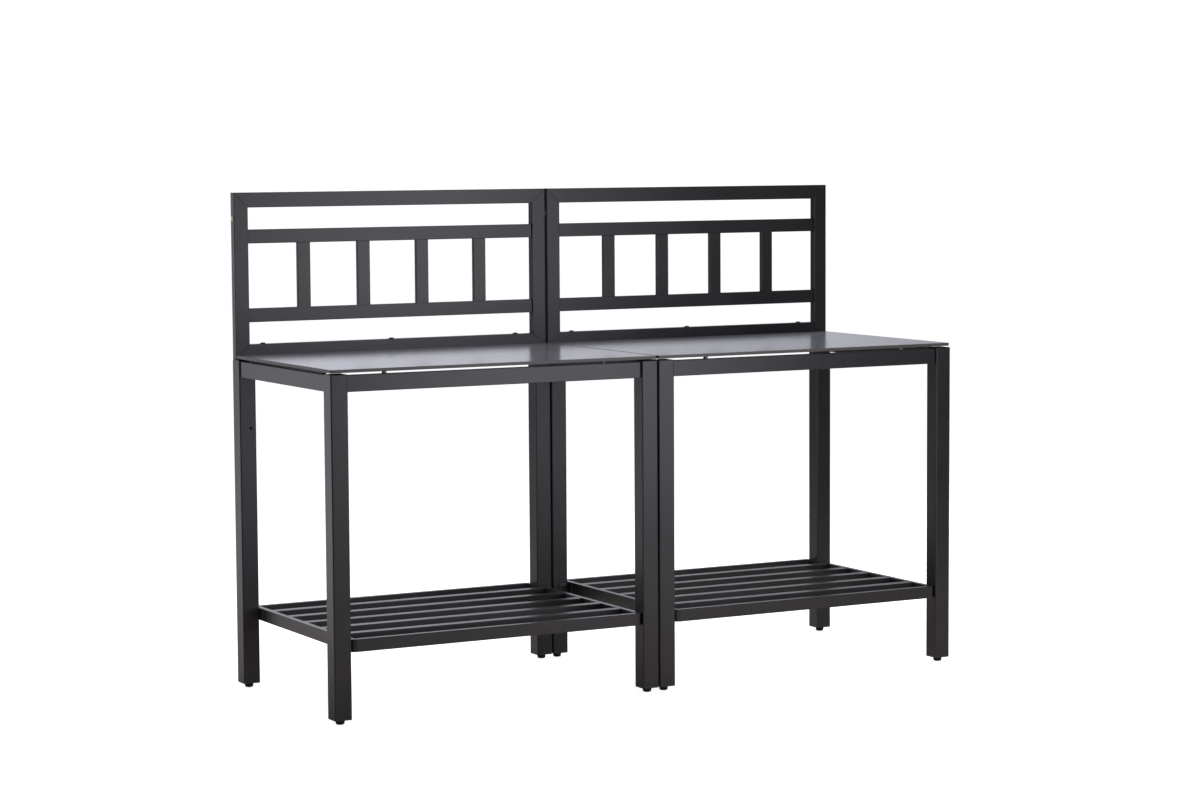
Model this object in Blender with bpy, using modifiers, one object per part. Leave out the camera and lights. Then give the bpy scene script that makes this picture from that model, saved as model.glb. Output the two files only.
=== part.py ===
"""Potting bench made of two identical table modules standing side by side.

Each module has four square legs on levelling feet, four aprons, a slatted shelf, a loose worktop on
soft pads and a back panel that stands on the rear legs. Metres, +Z up. The front is at -Y, the left end
at -X, and the origin lies on the floor under the middle of the bench.
"""

import math

import bmesh
import bpy
from mathutils import Matrix, Vector

# Each module's footprint, and the slot between the two modules.
MODULE_WIDTH = 1.000
MODULE_DEPTH = 0.700
MODULE_GAP = 0.004

# Touching pieces keep this much air between them.
JOINT_GAP = 0.0003

# Worktop plate. Its upper side is the working height, which the legs, aprons and panel follow.
PLATE_TOP = 0.958
PLATE_THICKNESS = 0.009
PLATE_SIDE_INSET = 0.002
PLATE_FRONT_INSET = 0.003
PLATE_REAR_CLEARANCE = 0.0015
PLATE_EDGE_ROUND = 0.0008
PLATE_CORNER_RADIUS = 0.003

# Legs: square tube that ends under the plate, closed at the top, with a threaded plate in the bottom end.
LEG_SIZE = 0.050
LEG_WALL = 0.002
LEG_RADIUS = 0.003
LEG_CLEARANCE = 0.004
LEG_TOP_ROUND = 0.0018
LEG_PLATE = 0.006

# A hook hole, in the front of one leg only.
HOOK_HOLE_LEG = ("left", "rear", "left")
HOOK_HOLE_DIAMETER = 0.008
HOOK_HOLE_DROP = 0.195
HOOK_HOLE_INSET = 0.017

# Levelling feet: a round glide on a stem that screws up into the leg.
FOOT_HEIGHT = 0.0135
FOOT_DIAMETER = 0.025
FOOT_ROUND = 0.006
STEM_DIAMETER = 0.010
STEM_LENGTH = 0.034
STEM_CLEARANCE = 0.0004

# Aprons between the legs, a little lower than the leg tops.
APRON_HEIGHT = 0.045
APRON_THICKNESS = 0.025
APRON_DROP = 0.003
APRON_FRONT_INSET = 0.0075
APRON_SIDE_INSET = 0.004

# Pads that the plate lies on.
PAD_DIAMETER = 0.014
PAD_TAPER = 0.0015
FRONT_PAD_INSET = 0.165
SIDE_PAD_FRONT_INSET = 0.085
SIDE_PAD_REAR_INSET = 0.112

# Back panel: a mitred frame of tube, flush with the legs at the back, with a ladder of two rails and four
# slats in it.
PANEL_HEIGHT = 0.4762
PANEL_TUBE = 0.043
PANEL_DEPTH = 0.025
PANEL_SIDE_INSET = 0.0015
LADDER_RAIL = 0.040
LADDER_RAIL_DEPTH = 0.015
LADDER_SLAT = 0.040
LADDER_SLAT_DEPTH = 0.012
LADDER_SLAT_COUNT = 4
LADDER_SLAT_PITCH = 0.188
LADDER_SPACE = 0.0625

# Shelf: a ring of tube with round corners that passes inside the legs, filled with slats.
SHELF_TOP = 0.231
SHELF_HEIGHT = 0.035
SHELF_TUBE = 0.015
SHELF_FRONT_INSET = 0.002
SHELF_INNER_RADIUS = 0.003
SHELF_SLAT_COUNT = 5
SHELF_SLAT_WIDTH = 0.030
SHELF_SLAT_HEIGHT = 0.020
SHELF_SLAT_DROP = 0.0005
VENT_DIAMETER = 0.006

# Tube walls and edges shared by aprons, panel and shelf.
TUBE_WALL = 0.0015
TUBE_RADIUS = 0.0015
ARC_STEPS = 3
ROUND_STEPS = 16
CUTTER_MARGIN = 0.002
WELD_DISTANCE = 1e-6

X_AXIS = Vector((1, 0, 0))
Y_AXIS = Vector((0, 1, 0))
Z_AXIS = Vector((0, 0, 1))

# Lines that several pieces share.
REAR_LEG_LINE = MODULE_DEPTH / 2 - LEG_SIZE / 2
PANEL_LINE = MODULE_DEPTH / 2 - PANEL_DEPTH / 2
PANEL_FRONT = PANEL_LINE - PANEL_DEPTH / 2
INNER_HALF_WIDTH = MODULE_WIDTH / 2 - LEG_SIZE
INNER_HALF_DEPTH = MODULE_DEPTH / 2 - LEG_SIZE
PLATE_BOTTOM = PLATE_TOP - PLATE_THICKNESS
LEG_TOP = PLATE_BOTTOM - LEG_CLEARANCE
APRON_TOP = LEG_TOP - APRON_DROP
PANEL_BOTTOM = LEG_TOP + JOINT_GAP
PANEL_TOP = PANEL_BOTTOM + PANEL_HEIGHT


def clear_scene():
    for obj in list(bpy.data.objects):
        bpy.data.objects.remove(obj, do_unlink=True)


def new_collection(name):
    collection = bpy.data.collections.new(name)
    bpy.context.scene.collection.children.link(collection)
    return collection


def new_material(name, color, roughness, metallic):
    material = bpy.data.materials.new(name)
    material.use_nodes = True
    shader = material.node_tree.nodes["Principled BSDF"]
    shader.inputs["Base Color"].default_value = (*color, 1.0)
    shader.inputs["Roughness"].default_value = roughness
    shader.inputs["Metallic"].default_value = metallic
    return material


def rounded_rectangle(width, height, radius):
    """The outline of a rectangle centred on the origin, counterclockwise, with round corners."""
    if radius <= 0:
        return [
            (-width / 2, -height / 2),
            (width / 2, -height / 2),
            (width / 2, height / 2),
            (-width / 2, height / 2),
        ]
    points = []
    for corner in range(4):
        start = math.radians(90 * corner - 90)
        side_x = 1 if corner in (0, 1) else -1
        side_y = 1 if corner in (1, 2) else -1
        centre_x = side_x * (width / 2 - radius)
        centre_y = side_y * (height / 2 - radius)
        for step in range(ARC_STEPS + 1):
            angle = start + math.radians(90) * step / ARC_STEPS
            points.append((centre_x + radius * math.cos(angle), centre_y + radius * math.sin(angle)))
    return points


def evaluated_mesh(obj):
    """The mesh that an object's modifiers or curve make, with loose caps welded on. Removes the object."""
    bpy.context.scene.collection.objects.link(obj)
    bpy.context.view_layer.update()
    graph = bpy.context.evaluated_depsgraph_get()
    mesh = bpy.data.meshes.new_from_object(obj.evaluated_get(graph))
    bpy.data.objects.remove(obj, do_unlink=True)
    shape = bmesh.new()
    shape.from_mesh(mesh)
    bmesh.ops.remove_doubles(shape, verts=shape.verts, dist=WELD_DISTANCE)
    bmesh.ops.recalc_face_normals(shape, faces=shape.faces)
    shape.to_mesh(mesh)
    shape.free()
    return mesh


def extruded(outlines, length):
    """A prism along Z, centred on the origin, whose cross-section is the first outline less the others."""
    curve = bpy.data.curves.new("outline", "CURVE")
    curve.dimensions = "2D"
    curve.fill_mode = "BOTH"
    curve.extrude = length / 2
    for points in outlines:
        spline = curve.splines.new("POLY")
        spline.points.add(len(points) - 1)
        for point, (x, y) in zip(spline.points, points):
            point.co = (x, y, 0, 1)
        spline.use_cyclic_u = True
    return evaluated_mesh(bpy.data.objects.new("outline", curve))


def tube_mesh(across, outward, length, wall=TUBE_WALL, radius=TUBE_RADIUS):
    """A rectangular tube along Z with open ends. Its sides run along X (across) and Y (outward)."""
    outer = rounded_rectangle(across, outward, radius)
    inner = rounded_rectangle(across - 2 * wall, outward - 2 * wall, 0)
    return extruded([outer, inner], length)


def mitred(mesh, outward, length):
    """Cuts both ends of a tube at 45 degrees, so that its +Y side keeps the full length."""
    for vertex in mesh.vertices:
        setback = outward / 2 - vertex.co.y + JOINT_GAP
        side = 1 if vertex.co.z > 0 else -1
        vertex.co.z = side * (length / 2 - setback)
    return mesh


def cylinder_mesh(diameter, length, steps=ROUND_STEPS):
    shape = bmesh.new()
    bmesh.ops.create_cone(
        shape,
        cap_ends=True,
        segments=steps,
        radius1=diameter / 2,
        radius2=diameter / 2,
        depth=length,
    )
    mesh = bpy.data.meshes.new("cylinder")
    shape.to_mesh(mesh)
    shape.free()
    return mesh


def moved(mesh, offset=(0, 0, 0), rotation=None):
    matrix = Matrix.Translation(offset)
    if rotation is not None:
        matrix = matrix @ rotation.to_4x4()
    mesh.transform(matrix)
    return mesh


def joined(meshes):
    """Several meshes as one, which stay separate shapes."""
    shape = bmesh.new()
    for mesh in meshes:
        shape.from_mesh(mesh)
    whole = bpy.data.meshes.new("group")
    shape.to_mesh(whole)
    shape.free()
    return whole


def combined(mesh, steps, cutters):
    """The mesh after a Boolean with each step's mesh, which stays in the cutters collection as a wire."""
    body = bpy.data.objects.new("body", mesh)
    for operation, other_mesh in steps:
        other = bpy.data.objects.new("cutter", other_mesh)
        other.hide_render = True
        other.display_type = "WIRE"
        cutters.objects.link(other)
        modifier = body.modifiers.new(operation.lower(), "BOOLEAN")
        modifier.operation = operation
        modifier.solver = "EXACT"
        modifier.object = other
    return evaluated_mesh(body)


def carved(mesh, cutter_meshes, cutters):
    """The mesh less its cutters."""
    return combined(mesh, [("DIFFERENCE", cutter) for cutter in cutter_meshes], cutters)


def bevelled(mesh, chosen, width, segments):
    """Rounds the edges that the chosen function picks."""
    shape = bmesh.new()
    shape.from_mesh(mesh)
    edges = [edge for edge in shape.edges if chosen(edge)]
    bmesh.ops.bevel(
        shape,
        geom=edges,
        offset=width,
        offset_type="OFFSET",
        segments=segments,
        profile=0.5,
        affect="EDGES",
        material=-1,
    )
    shape.to_mesh(mesh)
    shape.free()
    return mesh


def is_rim(edge):
    """An edge between an end face, which looks along Z, and a side."""
    levels = sorted(abs(face.normal.z) for face in edge.link_faces)
    return len(levels) == 2 and levels[0] < 0.5 < levels[1]


def orientation(along, outward):
    """The rotation that turns a piece's Z to along and its Y to outward."""
    return Matrix((outward.cross(along), outward, along)).transposed()


class Bench:
    """Puts finished meshes into the scene as named objects."""

    def __init__(self):
        self.parts = new_collection("potting_bench")
        self.cutters = new_collection("cutters")
        self.metal = new_material("charcoal_powder_coat", (0.035, 0.036, 0.039), 0.45, 0.3)
        self.plate = new_material("grey_glass", (0.23, 0.25, 0.27), 0.18, 0.0)
        self.rubber = new_material("clear_pad", (0.32, 0.33, 0.33), 0.6, 0.0)
        self.glide = new_material("black_nylon", (0.012, 0.012, 0.013), 0.5, 0.0)

    def add(self, name, mesh, location, material, rotation=None):
        obj = bpy.data.objects.new(name, mesh)
        if not mesh.materials:
            mesh.materials.append(material)
        obj.location = location
        if rotation is not None:
            obj.rotation_euler = rotation.to_euler()
        self.parts.objects.link(obj)
        mesh.shade_smooth()
        mesh.set_sharp_from_angle(angle=math.radians(30))
        return obj


def leg_mesh(bench, has_hook_hole):
    """A leg that stands on the origin. Its hook hole, if any, is in its front near its +X side."""
    length = LEG_TOP - FOOT_HEIGHT
    outline = rounded_rectangle(LEG_SIZE, LEG_SIZE, LEG_RADIUS)
    solid = moved(extruded([outline], length), (0, 0, length / 2))
    bevelled(
        solid,
        lambda edge: is_rim(edge) and all(v.co.z > length / 2 for v in edge.verts),
        LEG_TOP_ROUND,
        2,
    )
    bore_size = LEG_SIZE - 2 * LEG_WALL
    cavity_length = length - LEG_PLATE - LEG_WALL
    cavity = extruded([rounded_rectangle(bore_size, bore_size, 0)], cavity_length)
    moved(cavity, (0, 0, LEG_PLATE + cavity_length / 2))
    bore = cylinder_mesh(STEM_DIAMETER + 2 * STEM_CLEARANCE, 2 * LEG_PLATE)
    cutter_meshes = [cavity, moved(bore, (0, 0, LEG_PLATE / 2))]
    if has_hook_hole:
        hole = cylinder_mesh(HOOK_HOLE_DIAMETER, 2 * LEG_WALL + CUTTER_MARGIN)
        hole_x = LEG_SIZE / 2 - HOOK_HOLE_INSET
        place = (hole_x, -LEG_SIZE / 2, length - HOOK_HOLE_DROP)
        cutter_meshes.append(moved(hole, place, orientation(Y_AXIS, Z_AXIS)))
    return carved(solid, cutter_meshes, bench.cutters)


def foot_profile():
    """Half of the foot's outline, from the top of its stem down. Z = 0 is the leg's lower end."""
    chamfer = STEM_DIAMETER / 8
    stem = STEM_DIAMETER / 2
    glide = FOOT_DIAMETER / 2
    points = [(0, STEM_LENGTH), (stem - chamfer, STEM_LENGTH), (stem, STEM_LENGTH - chamfer)]
    points += [(stem, -JOINT_GAP), (glide, -JOINT_GAP)]
    for step in range(ARC_STEPS + 1):
        angle = math.radians(90) * step / ARC_STEPS
        radius = glide - FOOT_ROUND + FOOT_ROUND * math.cos(angle)
        points.append((radius, -FOOT_HEIGHT + FOOT_ROUND * (1 - math.sin(angle))))
    points.append((0, -FOOT_HEIGHT))
    return points


def foot_mesh():
    """The foot turned about Z, closed at both poles."""
    points = foot_profile()
    mesh = bpy.data.meshes.new("foot")
    edges = [(index, index + 1) for index in range(len(points) - 1)]
    mesh.from_pydata([(x, 0, z) for x, z in points], edges, [])
    turned = bpy.data.objects.new("foot", mesh)
    screw = turned.modifiers.new("turn", "SCREW")
    screw.axis = "Z"
    screw.steps = ROUND_STEPS
    screw.render_steps = ROUND_STEPS
    screw.use_merge_vertices = True
    screw.merge_threshold = WELD_DISTANCE
    return evaluated_mesh(turned)


def add_legs(bench, side, middle):
    """Four legs with their feet. A foot's origin lies on the axis that it screws along."""
    feet = foot_mesh()
    plain_leg = leg_mesh(bench, False)
    for end, end_sign in (("left", -1), ("right", 1)):
        for row, row_sign in (("front", -1), ("rear", 1)):
            has_hook_hole = (side, row, end) == HOOK_HOLE_LEG
            mesh = leg_mesh(bench, True) if has_hook_hole else plain_leg
            place = Vector((
                middle + end_sign * (MODULE_WIDTH - LEG_SIZE) / 2,
                row_sign * REAR_LEG_LINE,
                FOOT_HEIGHT,
            ))
            bench.add(f"{side}_module_{row}_{end}_leg", mesh, place, bench.metal)
            bench.add(f"{side}_module_{row}_{end}_foot", feet, place, bench.glide)


def add_aprons(bench, side, middle):
    """Tubes between the legs: front, rear and both ends. The rear one runs along the legs' middles."""
    height = APRON_TOP - APRON_HEIGHT / 2
    long_mesh = tube_mesh(APRON_THICKNESS, APRON_HEIGHT, 2 * (INNER_HALF_WIDTH - JOINT_GAP))
    short_mesh = tube_mesh(APRON_THICKNESS, APRON_HEIGHT, 2 * (INNER_HALF_DEPTH - JOINT_GAP))
    front_line = -MODULE_DEPTH / 2 + APRON_FRONT_INSET + APRON_THICKNESS / 2
    side_line = MODULE_WIDTH / 2 - APRON_SIDE_INSET - APRON_THICKNESS / 2
    lengthways = orientation(X_AXIS, Z_AXIS)
    crossways = orientation(Y_AXIS, Z_AXIS)
    for name, mesh, x, y, turn in (
        ("front", long_mesh, 0, front_line, lengthways),
        ("rear", long_mesh, 0, REAR_LEG_LINE, lengthways),
        ("left", short_mesh, -side_line, 0, crossways),
        ("right", short_mesh, side_line, 0, crossways),
    ):
        bench.add(f"{side}_module_{name}_apron", mesh, (middle + x, y, height), bench.metal, turn)


def add_worktop(bench, side, middle):
    """The loose plate, from the front edge back to the panel."""
    front = -MODULE_DEPTH / 2 + PLATE_FRONT_INSET
    back = PANEL_FRONT - PLATE_REAR_CLEARANCE
    width = MODULE_WIDTH - 2 * PLATE_SIDE_INSET
    outline = rounded_rectangle(width, back - front, PLATE_CORNER_RADIUS)
    mesh = bevelled(extruded([outline], PLATE_THICKNESS), is_rim, PLATE_EDGE_ROUND, 2)
    place = (middle, (front + back) / 2, PLATE_BOTTOM + PLATE_THICKNESS / 2)
    bench.add(f"{side}_module_worktop", mesh, place, bench.plate)


def pad_places():
    """Pad names and places from the module's middle: two on the front apron and two on each end apron."""
    front_line = -MODULE_DEPTH / 2 + APRON_FRONT_INSET + APRON_THICKNESS / 2
    side_line = MODULE_WIDTH / 2 - APRON_SIDE_INSET - APRON_THICKNESS / 2
    places = []
    for end, sign in (("left", -1), ("right", 1)):
        places.append((f"front_{end}", sign * (MODULE_WIDTH / 2 - FRONT_PAD_INSET), front_line))
        places.append((f"{end}_front", sign * side_line, -MODULE_DEPTH / 2 + SIDE_PAD_FRONT_INSET))
        places.append((f"{end}_rear", sign * side_line, MODULE_DEPTH / 2 - SIDE_PAD_REAR_INSET))
    return places


def add_pads(bench, side, middle):
    """Soft buttons between the aprons and the worktop."""
    height = PLATE_BOTTOM - APRON_TOP - 2 * JOINT_GAP
    mesh = cylinder_mesh(PAD_DIAMETER, height)
    for vertex in mesh.vertices:
        if vertex.co.z > 0:
            vertex.co.xy *= 1 - 2 * PAD_TAPER / PAD_DIAMETER
    for name, x, y in pad_places():
        place = (middle + x, y, APRON_TOP + JOINT_GAP + height / 2)
        bench.add(f"{side}_module_{name}_pad", mesh, place, bench.rubber)


def add_panel_frame(bench, side, middle):
    """Four mitred tubes that stand on the rear legs."""
    width = MODULE_WIDTH - 2 * PANEL_SIDE_INSET
    rail_mesh = mitred(tube_mesh(PANEL_DEPTH, PANEL_TUBE, width), PANEL_TUBE, width)
    stile_mesh = mitred(tube_mesh(PANEL_DEPTH, PANEL_TUBE, PANEL_HEIGHT), PANEL_TUBE, PANEL_HEIGHT)
    half_tube = PANEL_TUBE / 2
    centre = PANEL_BOTTOM + PANEL_HEIGHT / 2
    for name, mesh, along, outward, x, z in (
        ("top_rail", rail_mesh, X_AXIS, Z_AXIS, 0, PANEL_TOP - half_tube),
        ("bottom_rail", rail_mesh, X_AXIS, -Z_AXIS, 0, PANEL_BOTTOM + half_tube),
        ("left_stile", stile_mesh, Z_AXIS, -X_AXIS, half_tube - width / 2, centre),
        ("right_stile", stile_mesh, Z_AXIS, X_AXIS, width / 2 - half_tube, centre),
    ):
        place = (middle + x, PANEL_LINE, z)
        bench.add(f"{side}_module_panel_{name}", mesh, place, bench.metal, orientation(along, outward))


def ladder_bars(half_height, half_width, wall, overrun):
    """The ladder's rails and slats as two groups of plain bars, or the bores in them where there is a wall.

    The slats reach the middle lines of the rails, so that the bores meet there.
    """
    rail_outline = rounded_rectangle(
        LADDER_RAIL_DEPTH - 2 * wall, LADDER_RAIL - 2 * wall, 0 if wall else TUBE_RADIUS
    )
    slat_outline = rounded_rectangle(
        LADDER_SLAT - 2 * wall, LADDER_SLAT_DEPTH - 2 * wall, 0 if wall else TUBE_RADIUS
    )
    rail_line = half_height - LADDER_RAIL / 2
    rails = []
    for sign in (-1, 1):
        rail = extruded([rail_outline], 2 * (half_width + overrun))
        rails.append(moved(rail, (0, 0, sign * rail_line), orientation(X_AXIS, Z_AXIS)))
    slats = []
    for index in range(LADDER_SLAT_COUNT):
        offset = LADDER_SLAT_PITCH * (index - (LADDER_SLAT_COUNT - 1) / 2)
        slats.append(moved(extruded([slat_outline], 2 * rail_line), (offset, 0, 0)))
    return joined(rails), joined(slats)


def add_ladder(bench, side, middle):
    """Two rails joined by four slats, welded as one hollow piece inside the panel frame."""
    frame_bottom = PANEL_BOTTOM + PANEL_TUBE
    frame_top = PANEL_TOP - PANEL_TUBE
    half_height = (frame_top - frame_bottom) / 2 - LADDER_SPACE
    half_width = MODULE_WIDTH / 2 - PANEL_SIDE_INSET - PANEL_TUBE - JOINT_GAP
    rails, slats = ladder_bars(half_height, half_width, 0, 0)
    rail_bores, slat_bores = ladder_bars(half_height, half_width, TUBE_WALL, CUTTER_MARGIN)
    steps = [("UNION", slats), ("DIFFERENCE", rail_bores), ("DIFFERENCE", slat_bores)]
    mesh = combined(rails, steps, bench.cutters)
    place = (middle, PANEL_LINE, (frame_bottom + frame_top) / 2)
    bench.add(f"{side}_module_panel_ladder", mesh, place, bench.metal)


def ring_outlines(inset):
    """The shelf ring seen from above, drawn inside its tube by the inset."""
    width = 2 * (INNER_HALF_WIDTH - JOINT_GAP)
    depth = MODULE_DEPTH - 2 * SHELF_FRONT_INSET
    grow = 2 * (SHELF_TUBE - inset)
    outer_radius = SHELF_INNER_RADIUS + SHELF_TUBE - inset
    outer = rounded_rectangle(width - 2 * inset, depth - 2 * inset, outer_radius)
    inner = rounded_rectangle(width - grow, depth - grow, SHELF_INNER_RADIUS + inset)
    return [outer, inner]


def add_shelf(bench, side, middle):
    """The hollow ring, with a vent hole under its rear rail, and the slats between its end rails."""
    ring = extruded(ring_outlines(0), SHELF_HEIGHT)
    cavity = extruded(ring_outlines(TUBE_WALL), SHELF_HEIGHT - 2 * TUBE_WALL)
    vent = cylinder_mesh(VENT_DIAMETER, 2 * TUBE_WALL + CUTTER_MARGIN)
    vent_y = MODULE_DEPTH / 2 - SHELF_FRONT_INSET - SHELF_TUBE / 2
    moved(vent, (0, vent_y, -SHELF_HEIGHT / 2))
    mesh = carved(ring, [cavity, vent], bench.cutters)
    place = (middle, 0, SHELF_TOP - SHELF_HEIGHT / 2)
    bench.add(f"{side}_module_shelf_frame", mesh, place, bench.metal)

    slat_length = 2 * (INNER_HALF_WIDTH - SHELF_TUBE - 2 * JOINT_GAP)
    slat_mesh = tube_mesh(SHELF_SLAT_WIDTH, SHELF_SLAT_HEIGHT, slat_length)
    slat_height = SHELF_TOP - SHELF_SLAT_DROP - SHELF_SLAT_HEIGHT / 2
    pitch = MODULE_DEPTH / (SHELF_SLAT_COUNT + 1)
    for index in range(SHELF_SLAT_COUNT):
        place = (middle, pitch * (index + 1) - MODULE_DEPTH / 2, slat_height)
        turn = orientation(X_AXIS, Z_AXIS)
        bench.add(f"{side}_module_shelf_slat_{index + 1}", slat_mesh, place, bench.metal, turn)


def main():
    clear_scene()
    bench = Bench()
    for side, sign in (("left", -1), ("right", 1)):
        middle = sign * (MODULE_WIDTH + MODULE_GAP) / 2
        add_legs(bench, side, middle)
        add_aprons(bench, side, middle)
        add_worktop(bench, side, middle)
        add_pads(bench, side, middle)
        add_panel_frame(bench, side, middle)
        add_ladder(bench, side, middle)
        add_shelf(bench, side, middle)


main()
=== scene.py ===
# %% [markdown]
# # Potting bench in charcoal steel
# Two equal tables stand side by side. Each has four square legs on levelling feet, a slatted shelf, a
# loose grey glass worktop and a back panel. The steel parts come from the CAD model and stay where they
# are. This lesson gives them their finishes and adds the small parts that the CAD model leaves out:
# turned feet, cast pads, bolts, brass inserts and shelf brackets. Everything is in metres, with +Z up, the
# front towards -Y, and the left table towards -X.

# %% Load the frame
import math

import bmesh
import bpy
from mathutils import Matrix, Vector


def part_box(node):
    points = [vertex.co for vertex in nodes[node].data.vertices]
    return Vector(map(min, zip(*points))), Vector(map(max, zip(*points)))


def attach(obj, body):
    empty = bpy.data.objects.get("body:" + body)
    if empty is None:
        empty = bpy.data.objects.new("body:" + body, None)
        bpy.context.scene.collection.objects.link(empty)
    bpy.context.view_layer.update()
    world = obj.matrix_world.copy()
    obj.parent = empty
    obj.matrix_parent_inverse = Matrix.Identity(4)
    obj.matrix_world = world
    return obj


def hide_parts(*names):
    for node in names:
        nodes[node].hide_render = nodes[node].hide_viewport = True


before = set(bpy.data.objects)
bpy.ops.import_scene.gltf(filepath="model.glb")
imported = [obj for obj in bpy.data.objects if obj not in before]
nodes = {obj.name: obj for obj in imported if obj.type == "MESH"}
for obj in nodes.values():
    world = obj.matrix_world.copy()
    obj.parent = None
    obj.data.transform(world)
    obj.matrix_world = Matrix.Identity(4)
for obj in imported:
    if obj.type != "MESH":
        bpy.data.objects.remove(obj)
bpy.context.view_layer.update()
MODULES = ("left", "right")

# %% [markdown]
# ## Camera
# The bench is seen from its left front corner, a little above the worktop, from far away with a long lens,
# so that upright lines stay almost upright. A Track To constraint could aim the camera, but it leaves no
# roll, and here the camera leans by a third of a degree. A camera looks along its own -Z axis, so its
# rotation is built from a turn about the world's Z, a tilt and that roll.

# %% Camera
CAMERA_PLACE = (-4.136, -7.571, 1.540)
CAMERA_TURN = math.radians(-28.67)
CAMERA_TILT = math.radians(90 - 4.86)
CAMERA_ROLL = math.radians(-0.347)
CAMERA_LENS = 88.89
SENSOR_WIDTH = 36
CLIP_END = 200

camera_data = bpy.data.cameras.new("camera")
camera_data.lens = CAMERA_LENS
camera_data.sensor_width = SENSOR_WIDTH
camera_data.clip_end = CLIP_END
camera = bpy.data.objects.new("camera", camera_data)
bpy.context.scene.collection.objects.link(camera)
camera.matrix_world = (
    Matrix.Translation(CAMERA_PLACE)
    @ Matrix.Rotation(CAMERA_TURN, 4, "Z")
    @ Matrix.Rotation(CAMERA_TILT, 4, "X")
    @ Matrix.Rotation(CAMERA_ROLL, 4, "Z")
)
bpy.context.scene.camera = camera
print("camera at", CAMERA_PLACE, "lens", CAMERA_LENS)

# %% [markdown]
# ## Shader arithmetic
# A finish is a small sum: a base gloss, plus a little cloudiness, plus dust. Its nodes could be made and
# linked one by one, but then the sum is hard to see. So `Value` wraps a socket, and + - * on it add Math
# nodes. Colours don't go through Math nodes, which would turn them grey: `Tree.mixed` mixes those.
# `Tree.node` adds any other node from its type, its settings and the values or links of its sockets.

# %% Shader helpers
class Value:
    """A socket on its way through a node tree. Arithmetic on it adds Math nodes."""

    def __init__(self, tree, socket):
        self.tree = tree
        self.socket = socket

    def math(self, operation, *terms):
        return self.tree.node("ShaderNodeMath", {"operation": operation}, dict(enumerate(terms)))

    def __add__(self, other):
        return self.math("ADD", self, other)

    def __sub__(self, other):
        return self.math("SUBTRACT", self, other)

    def __rsub__(self, other):
        return self.math("SUBTRACT", other, self)

    def __mul__(self, other):
        return self.math("MULTIPLY", self, other)

    __radd__ = __add__
    __rmul__ = __mul__

    def size(self):
        """How far the value is from zero."""
        return self.math("ABSOLUTE", self)

    def step(self, start, end):
        """0 up to start, 1 from end on, and a soft step between. start may be above end."""
        links = {"Value": self, "From Min": start, "From Max": end}
        return self.tree.node("ShaderNodeMapRange", {"interpolation_type": "SMOOTHSTEP"}, links)


class Tree:
    """A node tree and the one method that adds a node to it."""

    def __init__(self, node_tree):
        self.nodes = node_tree.nodes
        self.links = node_tree.links

    def node(self, kind, settings=None, links=None, output=0):
        made = self.nodes.new(kind)
        for name, setting in (settings or {}).items():
            setattr(made, name, setting)
        for name, value in (links or {}).items():
            self.join(value, made.inputs[name])
        return Value(self, made.outputs[output])

    def join(self, value, socket):
        """Links a Value to a socket, or sets the socket to a constant."""
        if isinstance(value, Value):
            self.links.new(value.socket, socket)
        else:
            socket.default_value = value

    def place(self):
        """The point on the piece, in metres."""
        return self.node("ShaderNodeTexCoord", output="Object")

    def part_of(self, vector, axis):
        """One coordinate of a vector: "X", "Y" or "Z"."""
        return self.node("ShaderNodeSeparateXYZ", links={"Vector": vector}, output=axis)

    def noise(self, vector, scale, detail=2.0, roughness=0.5):
        """Cloudy noise from 0 to 1, with scale clouds to the metre."""
        links = {"Vector": vector, "Scale": scale, "Detail": detail, "Roughness": roughness}
        return self.node("ShaderNodeTexNoise", links=links, output="Fac")

    def stretched(self, vector, scales):
        """The vector times a scale for each axis, which draws a pattern out."""
        return self.node("ShaderNodeMapping", links={"Vector": vector, "Scale": scales})

    def mixed(self, factor, first, second):
        """A colour between two colours."""
        links = {0: factor, 6: first, 7: second}
        return self.node("ShaderNodeMix", {"data_type": "RGBA"}, links, output=2)

    def bump(self, height, distance, strength):
        """A normal tilted by a height from 0 to 1 that stands for a distance in metres."""
        links = {"Height": height, "Distance": distance, "Strength": strength}
        return self.node("ShaderNodeBump", links=links, output="Normal")


class Finish(Tree):
    """A material. Its constants are set on the shader's own sockets, and what varies is joined to them."""

    def __init__(self, name, **constants):
        self.material = bpy.data.materials.new(name)
        self.material.use_nodes = True
        super().__init__(self.material.node_tree)
        self.shader = self.nodes["Principled BSDF"]
        self.set(**constants)

    def set(self, **values):
        """Sets or links the shader's sockets, with _ for the spaces in their names."""
        for name, value in values.items():
            self.join(value, self.shader.inputs[name.replace("_", " ")])


# %% [markdown]
# ## Room light
# The bench is dark and glossy, so its shape is drawn by what it mirrors. An evenly lit room would flatten
# it. So this room is dim, with one bright backdrop behind the bench, which the worktop mirrors, and a
# little light from above. The camera itself sees plain white wherever there is no bench.

# %% Room light
ROOM_DIM = 0.05
ROOM_GLOW = 1.55
ROOM_TOP = 0.18
ROOM_WHITE = 1.05
ROOM_TINT = (0.90, 0.90, 1.0, 1)
PURE_WHITE = (1.0, 1.0, 1.0, 1)
BACKDROP_DIRECTION = (0.20, 0.95, 0.22)
BACKDROP_EDGE = 0.85
OVERHEAD_EDGE = 0.1

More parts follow.
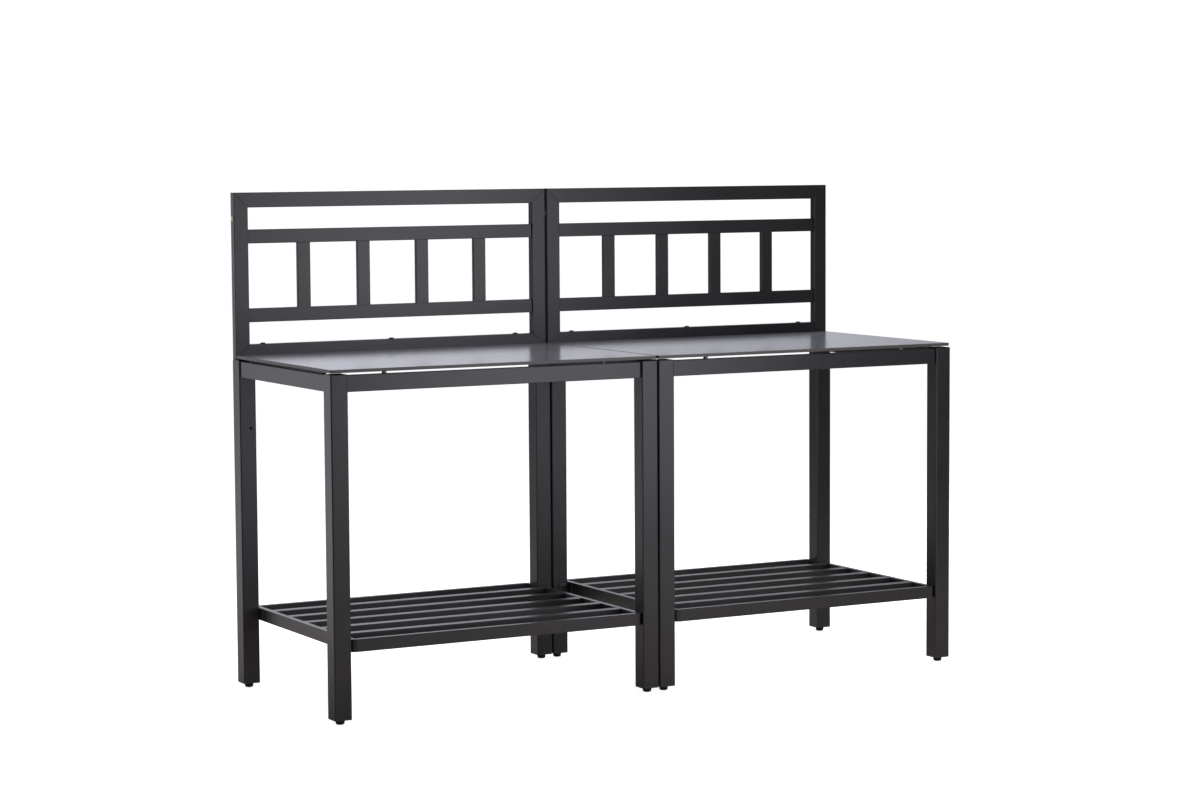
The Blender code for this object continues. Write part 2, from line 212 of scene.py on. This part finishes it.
world = bpy.data.worlds.new("studio")
bpy.context.scene.world = world
world.use_nodes = True
room = Tree(world.node_tree)
look = room.node("ShaderNodeTexCoord", output="Generated")
facing = room.node(
    "ShaderNodeVectorMath",
    {"operation": "DOT_PRODUCT"},
    {0: look, 1: BACKDROP_DIRECTION},
    output="Value",
)
overhead = room.part_of(look, "Z").step(OVERHEAD_EDGE, 1.0)
radiance = ROOM_DIM + ROOM_GLOW * facing.step(BACKDROP_EDGE, 1.0) + ROOM_TOP * overhead
camera_ray = room.node("ShaderNodeLightPath", output="Is Camera Ray")
background = room.nodes["Background"]
room.join(radiance * (1 - camera_ray) + camera_ray * ROOM_WHITE, background.inputs["Strength"])
room.join(room.mixed(camera_ray, ROOM_TINT, PURE_WHITE), background.inputs["Color"])
bpy.context.scene.view_settings.view_transform = "Standard"
print("room glow:", ROOM_GLOW, "towards", BACKDROP_DIRECTION)

# %% [markdown]
# ## Soft boxes
# A soft box is a lamp with a large white front. Mirrored in powder coat it gives a long even sheen, where a
# point or a sun lamp would give only a spark. One lights the left ends, one the front of the left table,
# one the tops, and one the back and the right end. Each is a rectangular area light that faces a target.

# %% Soft boxes
def soft_box(name, place, target, width, height, power, color):
    """A rectangular light that faces its target. The camera doesn't see it."""
    data = bpy.data.lights.new(name, "AREA")
    data.shape = "RECTANGLE"
    data.size = width
    data.size_y = height
    data.energy = power
    data.color = color
    light = bpy.data.objects.new(name, data)
    light.visible_camera = False
    bpy.context.scene.collection.objects.link(light)
    aim = (Vector(target) - Vector(place)).to_track_quat("-Z", "Y")
    light.matrix_world = Matrix.Translation(place) @ aim.to_matrix().to_4x4()
    return light


# Name, place, target, width, height, watts, colour
SOFT_BOXES = (
    ("left_box", (-1.9, 1.65, 1.15), (-0.9, 1.55, 1.15), 2.0, 2.3, 18, (0.93, 0.91, 1.0)),
    ("front_box", (0.85, -2.7, 1.3), (-0.30, 0.0, 1.15), 1.40, 2.1, 32, (0.91, 0.89, 1.0)),
    ("top_box", (0.0, 0.6, 4.2), (0.0, 0.0, 0.9), 3.0, 2.0, 50, (1.0, 1.0, 1.0)),
    ("back_box", (3.4, 0.9, 2.4), (1.9, 1.5, 0.0), 2.0, 1.6, 70, (0.94, 0.94, 1.0)),
)
soft_boxes = [soft_box(*settings) for settings in SOFT_BOXES]
print("soft boxes:", [light.name for light in soft_boxes])

# %% [markdown]
# ## Floor
# The bench stands on white studio paper that runs on to the horizon. Paper bright enough to show white
# would also light the lower sides of the bench from below, so its shader is split by the kind of ray: the
# camera sees bright paper, and the bench sees a dimmer, slightly warm floor.

# %% Floor
FLOOR_SIZE = 60.0
PAPER_COLOR = (0.86, 0.86, 0.86, 1)
PAPER_ROUGHNESS = 0.9
PAPER_GLOW = 0.84
DIM_FLOOR = (0.75, 0.68, 0.62, 1)

floor_mesh = bpy.data.meshes.new("floor")
sheet = bmesh.new()
bmesh.ops.create_grid(sheet, x_segments=2, y_segments=2, size=FLOOR_SIZE / 2)
sheet.to_mesh(floor_mesh)
sheet.free()
floor = bpy.data.objects.new("floor", floor_mesh)
bpy.context.scene.collection.objects.link(floor)

paper = Finish("pale_floor", Base_Color=PAPER_COLOR, Roughness=PAPER_ROUGHNESS)
paper.set(Emission_Color=PURE_WHITE, Emission_Strength=PAPER_GLOW)
dim = paper.node("ShaderNodeBsdfDiffuse", links={"Color": DIM_FLOOR})
seen = paper.node("ShaderNodeLightPath", output="Is Camera Ray")
white = Value(paper, paper.shader.outputs["BSDF"])
split = paper.node("ShaderNodeMixShader", links={0: seen, 1: dim, 2: white})
paper.join(split, paper.nodes["Material Output"].inputs["Surface"])
floor_mesh.materials.append(paper.material)
print("floor:", FLOOR_SIZE, "m")

# %% [markdown]
# ## Powder coat
# The steel is coated with charcoal powder that is baked on. It melts into a skin with a fine orange peel,
# so its gloss is broken by millimetre bumps, and it pools in slightly darker and lighter clouds. Towards
# the floor a painted warm sheen lightens the coat, for warm light reflected from below, and the coat is
# rougher there. The peel could be real displacement, but at a fraction of a millimetre a bump looks the
# same and costs no faces. Noise on Object coordinates runs on from tube to tube, with no seams to hide. The
# coat stays open until `close_coat`, so that other steel can add to it.

# %% Powder coat
COAT_DARK = (0.0130, 0.0133, 0.0146, 1)
COAT_LIGHT = (0.0185, 0.0188, 0.0206, 1)
# The next colour serves both the pale specks and the painted warm sheen near the floor.
COAT_SPECK_AND_SHEEN = (0.050, 0.043, 0.034, 1)
COAT_ROUGHNESS = 0.29
COAT_IOR = 1.5
# Heights where the painted warm sheen starts and where it is full.
SHEEN_TOP = 0.55
SHEEN_FULL = 0.02
PEEL_HEIGHT = 0.0004
PEEL_STRENGTH = 0.12


def powder_coat(name):
    """The charcoal coat, left open: its color, rough and peel can still be added to."""
    coat = Finish(name, IOR=COAT_IOR, Metallic=0.0)
    point = coat.place()
    clouds = coat.noise(point, 5.0, 3.0)
    peel = coat.noise(point, 420.0, 2.0)
    grain = coat.noise(point, 1800.0, 2.0)
    height = coat.part_of(point, "Z")
    # Painted warm sheen: a lighter, warmer and rougher coat towards the floor, for light reflected from
    # below.
    floor_sheen = height.step(SHEEN_TOP, SHEEN_FULL) * coat.noise(point, 14.0, 4.0) * 0.5
    color = coat.mixed(clouds.step(0.3, 0.7), COAT_DARK, COAT_LIGHT)
    color = coat.mixed(grain.step(0.66, 0.74) * 0.35, color, COAT_SPECK_AND_SHEEN)
    color = coat.mixed(floor_sheen, color, COAT_SPECK_AND_SHEEN)
    coat.color = color
    coat.rough = COAT_ROUGHNESS + clouds * 0.06 + grain * 0.06 + floor_sheen * 0.15
    coat.peel = peel * 0.7 + grain * 0.3
    return coat


def close_coat(coat):
    """Joins the coat's colour, gloss and peel to its shader and returns the material."""
    normal = coat.bump(coat.peel, PEEL_HEIGHT, PEEL_STRENGTH)
    coat.set(Base_Color=coat.color, Roughness=coat.rough, Normal=normal)
    return coat.material


steel_coat = close_coat(powder_coat("charcoal_coat"))
print("powder coat:", len(steel_coat.node_tree.nodes), "nodes")

# %% [markdown]
# ## Coat on the legs
# A plastic plug closes each leg's lower end. Its rim shows as a dark band under a thin pale line. The
# closed top lies in the plate's shadow, which is painted on it as a near-black colour, and it is matt.
# These could be rings of their own, but they are a millimetre high and flush with the leg, so they are
# painted by height above its lower end.

# %% Leg coat
PLUG_RIM = 0.0026
PLUG_SOFT = 0.0003
PLUG_COLOR = (0.010, 0.010, 0.010, 1)
PALE_LINE_WIDTH = 0.0009
PALE_LINE_COLOR = (0.10, 0.10, 0.10, 1)
# The band at the leg's top that gets the painted shadow of the plate, and that shadow's colour.
CAP_SHADOW_BAND = 0.0006
CAP_SHADOW_COLOR = (0.006, 0.006, 0.006, 1)
leg_low, leg_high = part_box("left_module_front_left_leg")
leg_foot = leg_low.z
leg_length = leg_high.z - leg_low.z

leg_finish = powder_coat("charcoal_leg_coat")
above = leg_finish.part_of(leg_finish.place(), "Z") - leg_foot
rim = above.step(PLUG_RIM, PLUG_RIM - PLUG_SOFT)
# A thin pale line just above the dark band at the leg's lower end.
line = (above - PLUG_RIM - PALE_LINE_WIDTH / 2).size().step(PALE_LINE_WIDTH, PALE_LINE_WIDTH / 3)
# Painted shadow: the leg's top is darkened to near black for the shade under the worktop plate.
shadowed_cap = above.step(leg_length - CAP_SHADOW_BAND, leg_length - CAP_SHADOW_BAND / 3)
leg_finish.color = leg_finish.mixed(line * 0.8, leg_finish.color, PALE_LINE_COLOR)
leg_finish.color = leg_finish.mixed(rim, leg_finish.color, PLUG_COLOR)
leg_finish.color = leg_finish.mixed(shadowed_cap, leg_finish.color, CAP_SHADOW_COLOR)
leg_finish.rough = leg_finish.rough + rim * 0.12 + shadowed_cap * 0.5
leg_coat = close_coat(leg_finish)
print("plug rim:", PLUG_RIM * 1000, "mm")

# %% [markdown]
# ## Coat on the panel frames
# Each panel frame is mitred: its tubes meet at 45 degrees in the corners and are welded and ground flat.
# The seam is a shallow groove, darkened by painted shade into a faint dark line in a slightly rougher band.
# It could be drawn on a texture, but a point lies on a mitre exactly where it is as far from the frame's
# side as from its top or bottom, so the shader finds the line by itself, at any size of panel.

# %% Panel coat
MITRE_HALF = 0.0012
GROUND_HALF = 0.010
# Colour of the painted shade in the mitre grooves.
SEAM_SHADE_COLOR = (0.006, 0.006, 0.006, 1)


def panel_coat(module):
    """The coat with the mitre lines of one table's panel, darkened by painted shade along the seams."""
    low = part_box(f"{module}_module_panel_left_stile")[0]
    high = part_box(f"{module}_module_panel_right_stile")[1]
    middle = (low + high) / 2
    half = (high - low) / 2
    coat = powder_coat(f"{module}_panel_coat")
    point = coat.place()
    from_side = half.x - (coat.part_of(point, "X") - middle.x).size()
    from_end = half.z - (coat.part_of(point, "Z") - middle.z).size()
    off_line = (from_side - from_end).size()
    # Painted shade: the mitre seam is darkened as if shade fell in its groove.
    shaded_seam = off_line.step(MITRE_HALF, MITRE_HALF / 2)
    ground = off_line.step(GROUND_HALF, GROUND_HALF / 3) * coat.noise(point, 160.0, 2.0)
    coat.color = coat.mixed(shaded_seam * 0.45, coat.color, SEAM_SHADE_COLOR)
    coat.rough = coat.rough + ground * 0.08
    coat.peel = coat.peel + ground * 0.6 - shaded_seam * 1.5
    return close_coat(coat)


panel_coats = {module: panel_coat(module) for module in MODULES}
print("panel coats:", list(panel_coats))

# %% [markdown]
# ## Worktop glass
# The plate is toughened glass, sprayed grey underneath and etched on top, which gives a satin sheen. Seen
# almost along its surface it mirrors the panel. True glass over a painted sheet would need many light
# bounces to look this plain, so one glossy surface with the refraction of glass stands for both. Large
# soft clouds and fine specks come from the spray. The ground edge is rougher and warmer, and it is picked
# out by the direction that the face looks in.

# %% Worktop glass
GLASS_DARK = (0.158, 0.165, 0.178, 1)
GLASS_LIGHT = (0.190, 0.197, 0.211, 1)
GLASS_SPECK = (0.22, 0.23, 0.24, 1)
GLASS_EDGE = (0.085, 0.079, 0.070, 1)
GLASS_ROUGHNESS = 0.17


def worktop_glass():
    """Satin grey glass with a ground edge."""
    glass = Finish("satin_grey_glass", IOR=1.5, Metallic=0.0)
    point = glass.place()
    clouds = glass.noise(point, 3.2, 4.0, 0.6)
    specks = glass.noise(point, 700.0, 2.0)
    smears = glass.noise(glass.stretched(point, (9.0, 3.0, 1.0)), 1.0, 3.0)
    normal = glass.node("ShaderNodeNewGeometry", output="True Normal")
    edge = glass.part_of(normal, "Z").size().step(0.75, 0.45)
    color = glass.mixed(clouds.step(0.32, 0.68), GLASS_DARK, GLASS_LIGHT)
    color = glass.mixed(specks.step(0.62, 0.75) * 0.4, color, GLASS_SPECK)
    color = glass.mixed(edge, color, GLASS_EDGE)
    rough = GLASS_ROUGHNESS + clouds * 0.03 + smears * 0.03 + edge * 0.25
    fine = glass.bump(specks, 0.0001, 0.06)
    glass.set(Base_Color=color, Roughness=rough, Normal=fine)
    return glass.material


worktop_material = worktop_glass()
print("worktop glass:", len(worktop_material.node_tree.nodes), "nodes")

# %% [markdown]
# ## Finishes for the CAD nodes
# Every CAD node already has material slots, so a finish is put on by filling them. Node names say what
# each part is, and a name is safer to go by than a place or an order.

# %% Give the CAD nodes their finishes
def finish_of(name):
    """The material for a CAD node, chosen by the end of its name."""
    module = name.split("_")[0]
    if name.endswith("_leg"):
        return leg_coat
    if name.endswith("_worktop"):
        return worktop_material
    if "_panel_" in name and not name.endswith("_ladder"):
        return panel_coats[module]
    return steel_coat


for name, node in nodes.items():
    for slot in node.material_slots:
        slot.material = finish_of(name)
print("finished CAD nodes:", len(nodes))

# %% [markdown]
# ## Turned parts
# Feet, pads, bolts and inserts are all round, as if cut on a lathe. Cylinders and spheres could be joined
# to make them, but their chamfers and rounded rims would be lost. So one helper takes a few points that
# draw half of the outline, spins them about Z and merges the seam and the poles. The shape can then be
# laid anywhere by a matrix before it becomes an object, which itself stays at the origin.

# %% Helpers for new pieces
SMOOTH_BELOW = math.radians(35)
MERGE_DISTANCE = 1e-6


def turned(outline, steps):
    """A solid of revolution about Z from (radius, height) points that start and end on the axis."""
    shape = bmesh.new()
    points = [shape.verts.new((radius, 0, height)) for radius, height in outline]
    edges = [shape.edges.new(pair) for pair in zip(points, points[1:])]
    bmesh.ops.spin(
        shape,
        geom=points + edges,
        cent=(0, 0, 0),
        axis=(0, 0, 1),
        angle=math.tau,
        steps=steps,
        use_merge=True,
    )
    bmesh.ops.remove_doubles(shape, verts=shape.verts, dist=MERGE_DISTANCE)
    bmesh.ops.recalc_face_normals(shape, faces=shape.faces)
    return shape


def piece(name, shape, matrix, material, body):
    """Turns a finished shape into an object at the origin that rides on a body."""
    bmesh.ops.transform(shape, matrix=matrix, verts=shape.verts)
    mesh = bpy.data.meshes.new(name)
    shape.to_mesh(mesh)
    shape.free()
    mesh.shade_smooth()
    mesh.set_sharp_from_angle(angle=SMOOTH_BELOW)
    mesh.materials.append(material)
    made = bpy.data.objects.new(name, mesh)
    bpy.context.scene.collection.objects.link(made)
    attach(made, body)
    return made


def rounded(radius, height, round_by, steps=4):
    """Outline points of a rounded upper rim, from (radius, height - round_by) up to its level top."""
    angles = [math.radians(90) * step / steps for step in range(steps + 1)]
    across = radius - round_by
    up = height - round_by
    return [(across + round_by * math.cos(angle), up + round_by * math.sin(angle)) for angle in angles]


def middle_of(low, high):
    """The centre of a box seen from above, at floor level."""
    return Vector(((low.x + high.x) / 2, (low.y + high.y) / 2, 0))


print("pieces are smooth below", round(math.degrees(SMOOTH_BELOW)), "degrees")


# %% [markdown]
# ## Levelling feet
# A black nylon glide is moulded round a zinc-plated screw. When the foot is screwed down, the thread shows.
# A true helix would need its own sweep, and at this size nobody can tell it from rings, so the thread is
# cut as rings in the same outline as the glide. Nylon shows flow lines from the mould and pale scuffs
# where it meets the floor, and zinc shows a fine spangle. Each foot rides on its own body.

# %% Nylon and thread finishes
NYLON_DARK = (0.0075, 0.0075, 0.0080, 1)
NYLON_LIGHT = (0.013, 0.013, 0.0135, 1)
NYLON_SCUFF = (0.06, 0.058, 0.055, 1)
SCUFF_TOP = 0.004
ZINC_DARK = (0.42, 0.43, 0.44, 1)
ZINC_LIGHT = (0.62, 0.62, 0.60, 1)
ZINC_STAIN = (0.30, 0.27, 0.22, 1)


def nylon(name, centre):
    """Black nylon with its pattern centred on one foot."""
    plastic = Finish(name, IOR=1.5, Metallic=0.0)
    point = plastic.node("ShaderNodeMapping", links={"Vector": plastic.place(), "Location": -centre})
    flow = plastic.noise(plastic.stretched(point, (90, 90, 500)), 1.0, 3.0)
    grain = plastic.noise(point, 1500.0, 2.0)
    scuffed = plastic.part_of(point, "Z").step(SCUFF_TOP, 0.0) * plastic.noise(point, 260.0, 3.0)
    color = plastic.mixed(flow, NYLON_DARK, NYLON_LIGHT)
    color = plastic.mixed(scuffed * 0.8, color, NYLON_SCUFF)
    plastic.set(Base_Color=color, Roughness=0.38 + grain * 0.2 + scuffed * 0.2)
    plastic.set(Normal=plastic.bump(grain * 0.6 + flow * 0.4, 0.0003, 0.25))
    return plastic.material


def zinc():
    """Zinc plate with a spangle and dull stains."""
    plate = Finish("zinc_plate", Metallic=1.0)
    point = plate.place()
    spangle = plate.noise(point, 900.0, 3.0)
    stain = plate.noise(point, 120.0, 3.0)
    color = plate.mixed(spangle, ZINC_DARK, ZINC_LIGHT)
    color = plate.mixed(stain.step(0.5, 0.8) * 0.5, color, ZINC_STAIN)
    plate.set(Base_Color=color, Roughness=0.28 + stain * 0.2, Normal=plate.bump(spangle, 0.0001, 0.2))
    return plate.material


zinc_plate = zinc()
print("zinc plate:", zinc_plate.name)

# %% Levelling feet
STEM_RADIUS = 0.005
THREAD_DEPTH = 0.0006
THREAD_PITCH = 0.0015
THREAD_START = 0.0008
THREAD_END = 0.001
GLIDE_ROUND = 0.006
GLIDE_STEPS = 8
GLIDE_CHAMFER = 0.0004
GLIDE_GAP = 0.0003
COLLAR = 0.0015
STEM_TIP = 0.0014
THREAD_WITHIN = 0.001
FOOT_STEPS = 40


def foot_outline(low, high, top):
    """From the floor up the glide and the threaded stem. Heights are absolute."""
    radius = (high.x - low.x) / 2
    root = STEM_RADIUS - THREAD_DEPTH
    outline = [(0, low.z), (radius - GLIDE_ROUND, low.z)]
    for step in range(1, GLIDE_STEPS + 1):
        angle = math.radians(90) * step / GLIDE_STEPS
        across = radius - GLIDE_ROUND * (1 - math.sin(angle))
        outline.append((across, low.z + GLIDE_ROUND * (1 - math.cos(angle))))
    outline += [(radius, top - GLIDE_CHAMFER), (radius - GLIDE_CHAMFER, top)]
    outline += [(STEM_RADIUS + COLLAR, top), (root, top + GLIDE_GAP)]
    height = top + THREAD_START
    while height + THREAD_PITCH < high.z - THREAD_END:
        outline += [(root, height), (STEM_RADIUS, height + THREAD_PITCH / 2)]
        height += THREAD_PITCH
    outline += [(root, height), (STEM_RADIUS - STEM_TIP, high.z), (0, high.z)]
    return outline


foot_names = [name for name in nodes if name.endswith("_foot")]
for name in foot_names:
    low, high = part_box(name)
    centre = middle_of(low, high)
    shape = turned(foot_outline(low, high, leg_foot - GLIDE_GAP), FOOT_STEPS)
    plastic = nylon(f"{name}_nylon", centre)
    foot = piece(f"{name}_turned", shape, Matrix.Translation(centre), plastic, name)
    foot.data.materials.append(zinc_plate)
    for polygon in foot.data.polygons:
        across = (polygon.center - centre).xy.length
        on_thread = polygon.center.z > leg_foot and across < STEM_RADIUS + THREAD_WITHIN
        polygon.material_index = int(on_thread)
    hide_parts(name)
print("feet:", len(foot_names))

# %% [markdown]
# ## Pads
# Clear soft buttons on the aprons carry the plate and keep it from rattling. Real ones are cast, with a
# rounded rim. A bevelled cylinder would do, but the lathe helper gives the chamfer below and the round
# above in one outline. They are milky rather than clear, so a cloudy grey stands for them.

# %% Pads
PAD_DARK = (0.16, 0.16, 0.155, 1)
PAD_LIGHT = (0.26, 0.26, 0.25, 1)
PAD_CHAMFER = 0.0006
PAD_TAPER = 0.0010
PAD_ROUND = 0.0014
PAD_STEPS = 32


def pad_rubber():
    """Milky soft plastic."""
    rubber = Finish("clear_pad", IOR=1.45, Roughness=0.45)
    point = rubber.place()
    cloud = rubber.noise(point, 300.0, 2.0)
    color = rubber.mixed(cloud, PAD_DARK, PAD_LIGHT)
    rubber.set(Base_Color=color, Normal=rubber.bump(cloud, 0.0005, 0.2))
    return rubber.material


soft_rubber = pad_rubber()
pad_names = [name for name in nodes if name.endswith("_pad")]
for name in pad_names:
    low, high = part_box(name)
    radius = (high.x - low.x) / 2
    outline = [(0, low.z), (radius - PAD_CHAMFER, low.z), (radius, low.z + PAD_CHAMFER)]
    outline += rounded(radius - PAD_TAPER, high.z, PAD_ROUND) + [(0, high.z)]
    shape = turned(outline, PAD_STEPS)
    matrix = Matrix.Translation(middle_of(low, high))
    pad = piece(f"{name}_cast", shape, matrix, soft_rubber, "frame")
    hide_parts(name)
print("pads:", len(pad_names))

# %% [markdown]
# ## Panel bolts
# Three low button heads stand on each panel's bottom rail and hold it down to the table. A hexagonal
# socket could be cut with a Boolean, but that leaves long thin faces on the dome. So the head is turned
# with a round socket, and then the two rings of the socket's wall are pulled out into a hexagon.

# %% Panel bolts
BOLT_PLACES = (0.089, 0.494, 0.902)
BOLT_RADIUS = 0.0075
BOLT_HEIGHT = 0.0034
WASHER_LIP = 0.001
WASHER_TOP = 0.0010
WASHER_SIDE = 0.0008
DOME_STEPS = 6
DOME_ANGLE = math.radians(80)
SOCKET_RADIUS = 0.0026
SOCKET_DEPTH = 0.0020
SOCKET_RIM = 0.0010
SOCKET_DROP = 0.0001
SOCKET_WITHIN = 1e-5
BOLT_STEPS = 36


def bolt_shape():
    """A button head on a thin washer, standing on z = 0, with a hexagonal socket."""
    lip = BOLT_RADIUS + WASHER_LIP
    outline = [(0, 0), (lip, 0), (lip, WASHER_SIDE), (BOLT_RADIUS, WASHER_TOP)]
    inner = SOCKET_RADIUS + SOCKET_RIM
    for step in range(1, DOME_STEPS + 1):
        angle = DOME_ANGLE * step / DOME_STEPS
        across = inner + (BOLT_RADIUS - inner) * math.cos(angle)
        outline.append((across, WASHER_TOP + (BOLT_HEIGHT - WASHER_TOP) * math.sin(angle)))
    floor_height = BOLT_HEIGHT - SOCKET_DEPTH
    outline += [(SOCKET_RADIUS, BOLT_HEIGHT - SOCKET_DROP), (SOCKET_RADIUS, floor_height)]
    outline.append((0, floor_height))
    shape = turned(outline, BOLT_STEPS)
    for vertex in shape.verts:
        across = vertex.co.xy.length
        if vertex.co.z > BOLT_HEIGHT / 3 and abs(across - SOCKET_RADIUS) < SOCKET_WITHIN:
            turn = math.atan2(vertex.co.y, vertex.co.x) % math.radians(60) - math.radians(30)
            vertex.co.xy *= math.cos(math.radians(30)) / math.cos(turn)
    return shape


bolt_count = 0
for module in MODULES:
    low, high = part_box(f"{module}_module_panel_bottom_rail")
    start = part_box(f"{module}_module_front_left_leg")[0].x
    for number, across in enumerate(BOLT_PLACES, 1):
        spot = Vector((start + across, (low.y + high.y) / 2, high.z))
        matrix = Matrix.Translation(spot)
        piece(f"{module}_panel_bolt_{number}", bolt_shape(), matrix, steel_coat, "frame")
        bolt_count += 1
print("panel bolts:", bolt_count)

# %% [markdown]
# ## Brass inserts
# The left stile of each panel has a threaded brass insert in its outer side, for joining another panel or
# hanging something beside the bench. Only its thin flange and the dark bore show, so no hole is cut in the
# stile: the flange is turned with a shallow recess, and the recess is painted dark as the shade of the
# bore.
# Brass is a coloured metal, so its colour belongs to its reflections, and Metallic is 1.

# %% Brass inserts
INSERT_HEIGHT = 1.348
FLANGE_RADIUS = 0.0068
FLANGE_SIDE = 0.0007
FLANGE_FACE = 0.0012
FLANGE_CHAMFER = 0.0005
BORE_RADIUS = 0.0030
BORE_LIP = 0.0009
BORE_FLOOR = 0.0002
INSERT_STEPS = 36
BRASS_BRIGHT = (0.80, 0.62, 0.36, 1)
BRASS_DULL = (0.58, 0.42, 0.22, 1)
# Two tones of the painted shade inside the bore.
BORE_SHADE_LIGHT = (0.030, 0.020, 0.010, 1)
BORE_SHADE_DARK = (0.010, 0.008, 0.006, 1)


def brass():
    """Turned brass with a little tarnish."""
    metal = Finish("turned_brass", Metallic=1.0)
    point = metal.place()
    lathe = metal.noise(point, 1600.0, 2.0)
    tarnish = metal.noise(point, 260.0, 3.0)
    color = metal.mixed(tarnish, BRASS_BRIGHT, BRASS_DULL)
    metal.set(Base_Color=color, Roughness=0.22 + tarnish * 0.2, Normal=metal.bump(lathe, 0.0001, 0.2))
    return metal.material


def bore_shadow():
    """Painted shade for the dark inside of the threaded bore, which is not cut."""
    dark = Finish("bore_shadow", Roughness=0.6)
    speck = dark.noise(dark.place(), 900.0, 2.0)
    dark.set(Base_Color=dark.mixed(speck, BORE_SHADE_LIGHT, BORE_SHADE_DARK))
    return dark.material


def insert_outline():
    """The flange on z = 0, with the recess for the bore in its face."""
    outline = [(0, 0), (FLANGE_RADIUS, 0), (FLANGE_RADIUS, FLANGE_SIDE)]
    outline += [(FLANGE_RADIUS - FLANGE_CHAMFER, FLANGE_FACE), (BORE_RADIUS + FLANGE_CHAMFER, FLANGE_FACE)]
    return outline + [(BORE_RADIUS, BORE_LIP), (BORE_RADIUS, BORE_FLOOR), (0, BORE_FLOOR)]


brass_metal = brass()
dark_bore = bore_shadow()
for module in MODULES:
    low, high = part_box(f"{module}_module_panel_left_stile")
    spot = Vector((low.x, (low.y + high.y) / 2, INSERT_HEIGHT))
    matrix = Matrix.Translation(spot) @ Matrix.Rotation(math.radians(-90), 4, "Y")
    shape = turned(insert_outline(), INSERT_STEPS)
    insert = piece(f"{module}_panel_insert", shape, matrix, brass_metal, "frame")
    # The recess faces get the painted shade of the bore.
    insert.data.materials.append(dark_bore)
    for polygon in insert.data.polygons:
        across = (polygon.center - spot).yz.length
        inside = across < BORE_RADIUS * 0.98 and polygon.center.x > low.x - 0.0005
        polygon.material_index = int(inside)
print("inserts:", len(MODULES))

# %% [markdown]
# ## Shelf brackets
# A bent steel angle joins the shelf ring to each leg. Two flat boxes would overlap at the bend, so it
# starts as an L of two edges, which is extruded upwards, thickened by solidify and rounded by bevel, as
# bent sheet is. Its coat is a little darker and duller than the tubes': the darker colour is painted shade
# from the leg. Its cut ends are painted lighter, as a painted highlight.

# %% Shelf brackets
BRACKET_LEG = 0.028
BRACKET_RAIL = 0.028
BRACKET_HEIGHT = 0.027
BRACKET_THICKNESS = 0.0022
BRACKET_GAP = 0.0002
BRACKET_ROUND = 0.0005
SHARP_ABOVE = math.radians(60)
CUT_WITHIN = 0.0004
# Colours of the painted shade on the bracket and of the painted highlight on its cut ends.
BRACKET_SHADE_COLORS = ((0.008, 0.008, 0.009, 1), (0.013, 0.013, 0.014, 1))
CUT_END_HIGHLIGHT_COLORS = ((0.10, 0.10, 0.11, 1), (0.16, 0.16, 0.17, 1))


def bracket_shape():
    """An angle with its inner corner at the origin, one flange along +X and one along -Y."""
    shape = bmesh.new()
    ends = [shape.verts.new(place) for place in ((BRACKET_LEG, 0, 0), (0, 0, 0), (0, -BRACKET_RAIL, 0))]
    edges = [shape.edges.new(pair) for pair in zip(ends, ends[1:])]
    raised = bmesh.ops.extrude_edge_only(shape, edges=edges)
    top = [item for item in raised["geom"] if isinstance(item, bmesh.types.BMVert)]
    bmesh.ops.translate(shape, vec=(0, 0, BRACKET_HEIGHT), verts=top)
    bmesh.ops.recalc_face_normals(shape, faces=shape.faces)
    bmesh.ops.solidify(shape, geom=shape.faces[:], thickness=BRACKET_THICKNESS)
    bmesh.ops.recalc_face_normals(shape, faces=shape.faces)
    rims = [edge for edge in shape.edges if edge.is_manifold and edge.calc_face_angle(0) > SHARP_ABOVE]
    bmesh.ops.bevel(
        shape,
        geom=rims,
        offset=BRACKET_ROUND,
        offset_type="OFFSET",
        segments=2,
        profile=0.5,
        affect="EDGES",
        material=-1,
    )
    return shape


def bracket_coat(name, first, second):
    """The charcoal coat again, between two given colours, and a little duller. The colours paint shade on
    the bracket and a highlight on its cut ends.
    """
    coat = powder_coat(name)
    coat.color = coat.mixed(coat.noise(coat.place(), 300.0, 2.0), first, second)
    coat.rough = coat.rough + 0.1
    return close_coat(coat)


# Painted shade darkens the bracket; a painted highlight lightens its cut ends.
shaded_bracket_steel = bracket_coat("bracket_coat", *BRACKET_SHADE_COLORS)
cut_end_highlight = bracket_coat("bracket_cut_end", *CUT_END_HIGHLIGHT_COLORS)
bracket_count = 0
for module in MODULES:
    shelf_low, shelf_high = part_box(f"{module}_module_shelf_frame")
    middle_height = (shelf_low.z + shelf_high.z) / 2
    for row, towards in (("front", 1), ("rear", -1)):
        for end, outward in (("left", -1), ("right", 1)):
            low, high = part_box(f"{module}_module_{row}_{end}_leg")
            corner = Vector((
                (shelf_low.x if end == "left" else shelf_high.x) + outward * BRACKET_GAP,
                (high.y if row == "front" else low.y) + towards * BRACKET_GAP,
                middle_height - BRACKET_HEIGHT / 2,
            ))
            shape = bracket_shape()
            bmesh.ops.scale(shape, vec=(outward, -towards, 1), verts=shape.verts)
            bmesh.ops.recalc_face_normals(shape, faces=shape.faces)
            name = f"{module}_{row}_{end}_shelf_bracket"
            matrix = Matrix.Translation(corner)
            bracket = piece(name, shape, matrix, shaded_bracket_steel, "frame")
            bracket.data.materials.append(cut_end_highlight)
            # The cut-end faces get the painted highlight.
            for polygon in bracket.data.polygons:
                along = polygon.center - corner
                cut = max(abs(along.x) - BRACKET_LEG, abs(along.y) - BRACKET_RAIL)
                polygon.material_index = int(cut > -CUT_WITHIN)
            bracket_count += 1
print("shelf brackets:", bracket_count, "last box:", tuple(bracket.dimensions))
